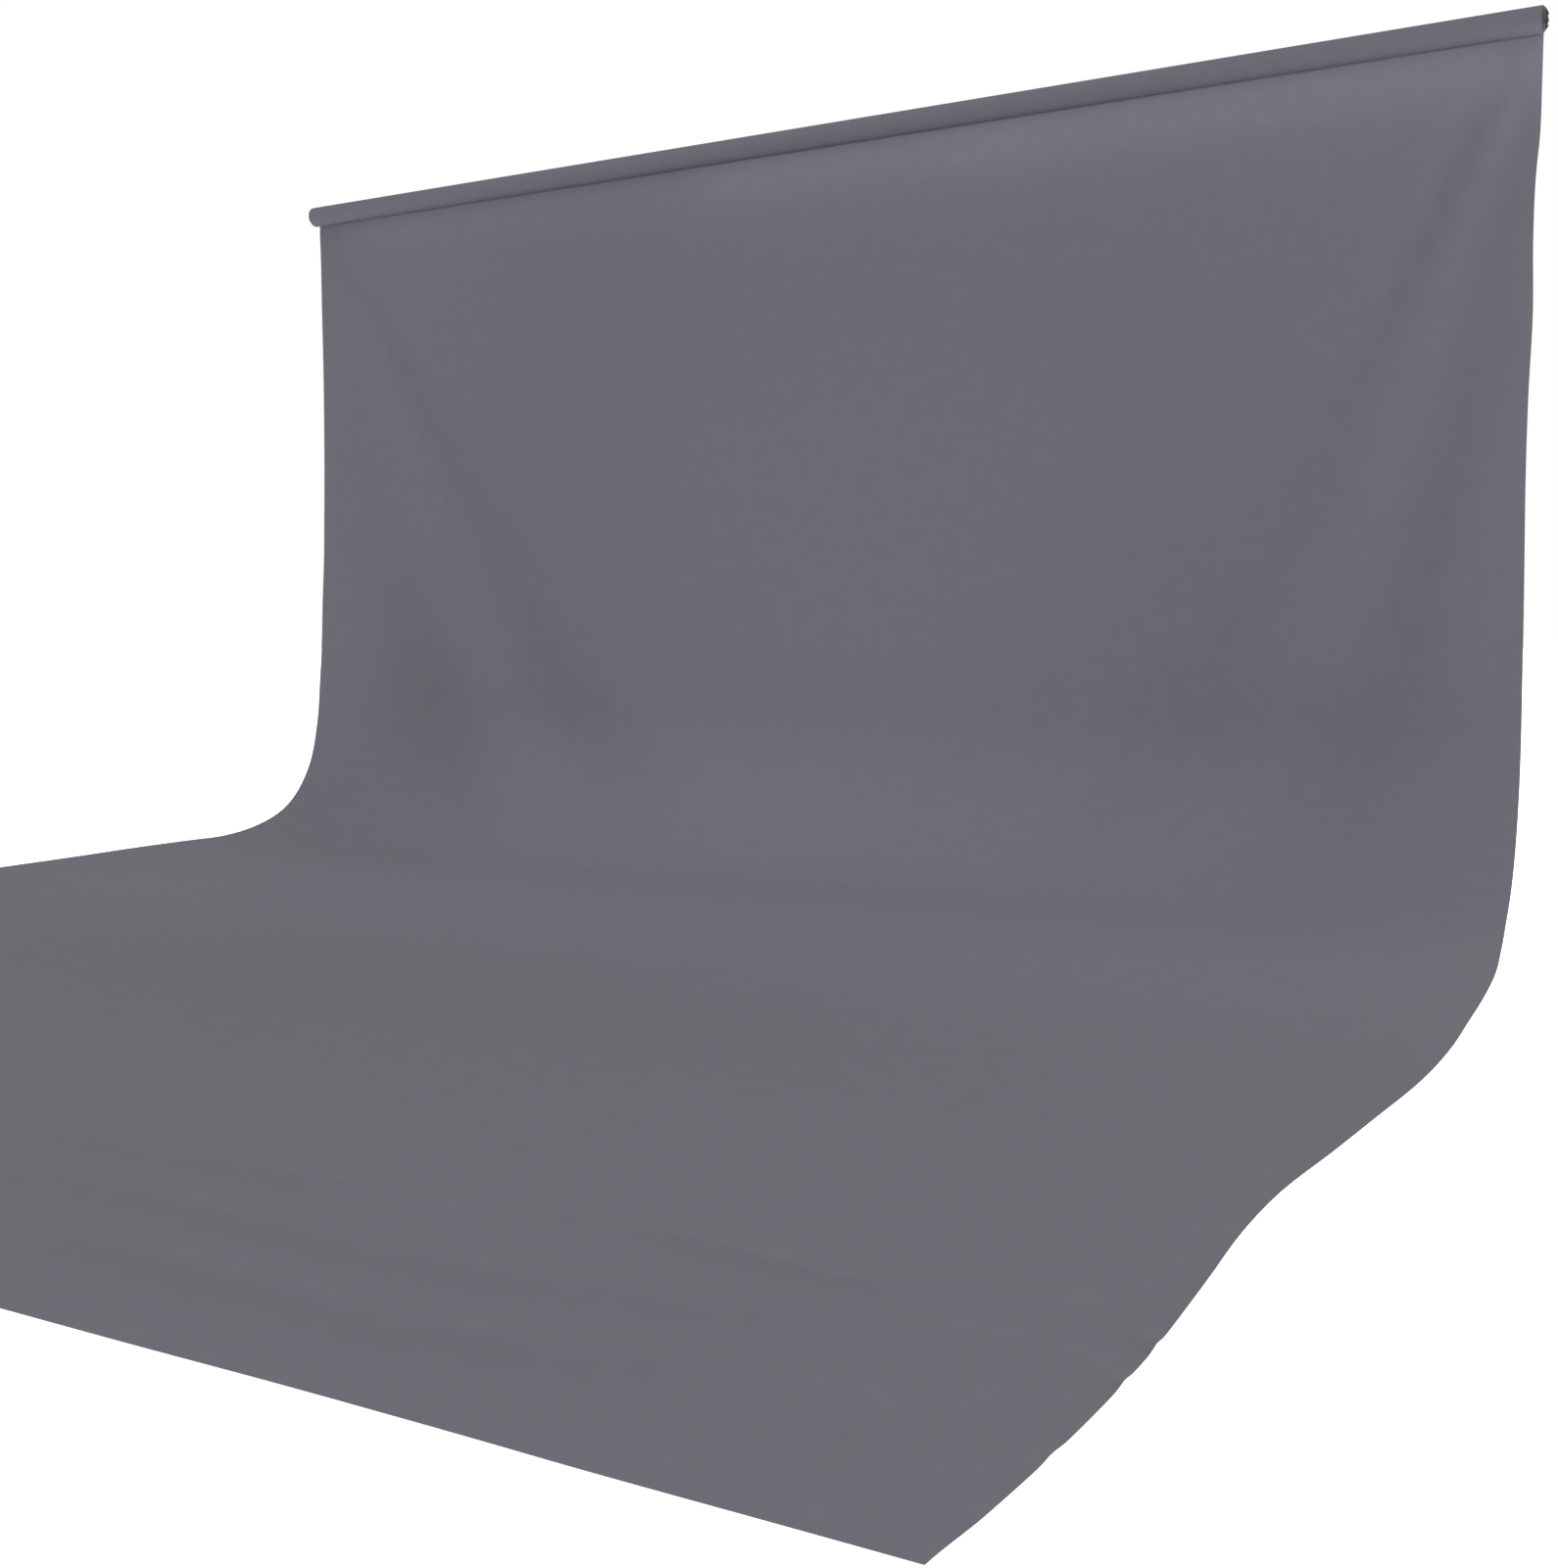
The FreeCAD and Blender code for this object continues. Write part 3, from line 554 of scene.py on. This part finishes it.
# A white room, brightest to the right and behind. Seen directly it is plain white.
ROOM_GLOW = (1.0, 0.76, 0.48)    # its strength towards the right, the back and the top
world = bpy.data.worlds.new("soft_white_room")
bpy.context.scene.world = world
world.use_nodes = True
sky = world.node_tree
towards = add_node(sky, "VectorMath", {0: add_node(sky, "TexCoord").outputs["Generated"],
                                       1: (0, 0, 0)}, operation="MAXIMUM")
soft = add_node(sky, "VectorMath", {0: towards.outputs["Vector"], 1: ROOM_GLOW},
                operation="DOT_PRODUCT")
seen = add_node(sky, "Math", {0: soft.outputs["Value"],
                              1: add_node(sky, "LightPath").outputs["Is Camera Ray"]},
                operation="MAXIMUM")
sky.nodes["Background"].inputs["Color"].default_value = (1, 1, 1, 1)
sky.links.new(seen.outputs["Value"], sky.nodes["Background"].inputs["Strength"])


def lamp(name, kind, energy, place, target, **settings):
    """A light at a place, aimed at a target, that doesn't show itself."""
    data = bpy.data.lights.new(name, kind)
    data.energy = energy
    for field, value in settings.items():
        setattr(data, field, value)
    made = bpy.data.objects.new(name, data)
    bpy.context.scene.collection.objects.link(made)
    made.location = place
    made.rotation_euler = (Vector(target) - Vector(place)).to_track_quat("-Z", "Y").to_euler()
    made.visible_camera = False
    return made


lamp("key_from_the_right", "SUN", 1.0, (3.625, -1.69, 6.93), (0, 0, 0),
     angle=math.radians(12))
lamp("front_light", "AREA", 0.45, (1.85, -2.4, -0.9), (1.85, 0, -1.0), shape="RECTANGLE",
     size=1.2, size_y=0.6, spread=math.radians(50))
lamp("low_fill", "AREA", 4.1, (1.8, -2.6, -0.2), (1.8, -0.25, -1.8), shape="RECTANGLE",
     size=3.2, size_y=0.6, spread=math.radians(60))
lamp("front_fill", "AREA", 2.0, (1.8, -3.4, 0.6), (1.8, 0, -1.2), shape="RECTANGLE",
     size=3.2, size_y=0.3, spread=math.radians(50))
# Weak strips close in front of the sheet and just under the roll, where the sheet's top
# would otherwise lie in the roll's shadow. They light only the sheet.
only_sheet = bpy.data.collections.new("lit_by_the_strips")
only_sheet.objects.link(sheet)
for name, start, end, energy in (("strip_right", 2.2, 3.6, 0.46),
                                 ("strip_middle", 1.4, 2.25, 0.26),
                                 ("strip_left", 0.1, 1.45, 0.24)):
    centre = (start + end) / 2
    strip = lamp(name, "AREA", energy, (centre, -0.12, -0.055), (centre, 0.03, -0.045),
                 shape="RECTANGLE", size=end - start, size_y=0.03)
    strip.light_linking.receiver_collection = only_sheet

CAMERA_PLACE = Vector((4.011, -4.196, FLOOR + 0.6142))
YAW, PITCH, ROLL = math.radians(29.279), math.radians(4.906), math.radians(0.276)
LENS_MM, SENSOR_MM = 40.172, 36
ahead = Vector((-math.sin(YAW) * math.cos(PITCH), math.cos(YAW) * math.cos(PITCH),
                -math.sin(PITCH)))
right = Vector((math.cos(YAW), math.sin(YAW), 0))
below = ahead.cross(right)
right, below = (math.cos(ROLL) * right + math.sin(ROLL) * below,
                -math.sin(ROLL) * right + math.cos(ROLL) * below)
camera_data = bpy.data.cameras.new("camera")
camera_data.lens = LENS_MM
camera_data.sensor_width = SENSOR_MM
camera = bpy.data.objects.new("camera", camera_data)
bpy.context.scene.collection.objects.link(camera)
camera.matrix_world = Matrix((right, -below, -ahead)).transposed().to_4x4()
camera.location = CAMERA_PLACE
bpy.context.scene.camera = camera
bpy.context.scene.view_settings.view_transform = "Standard"
bpy.context.scene.view_settings.look = "None"
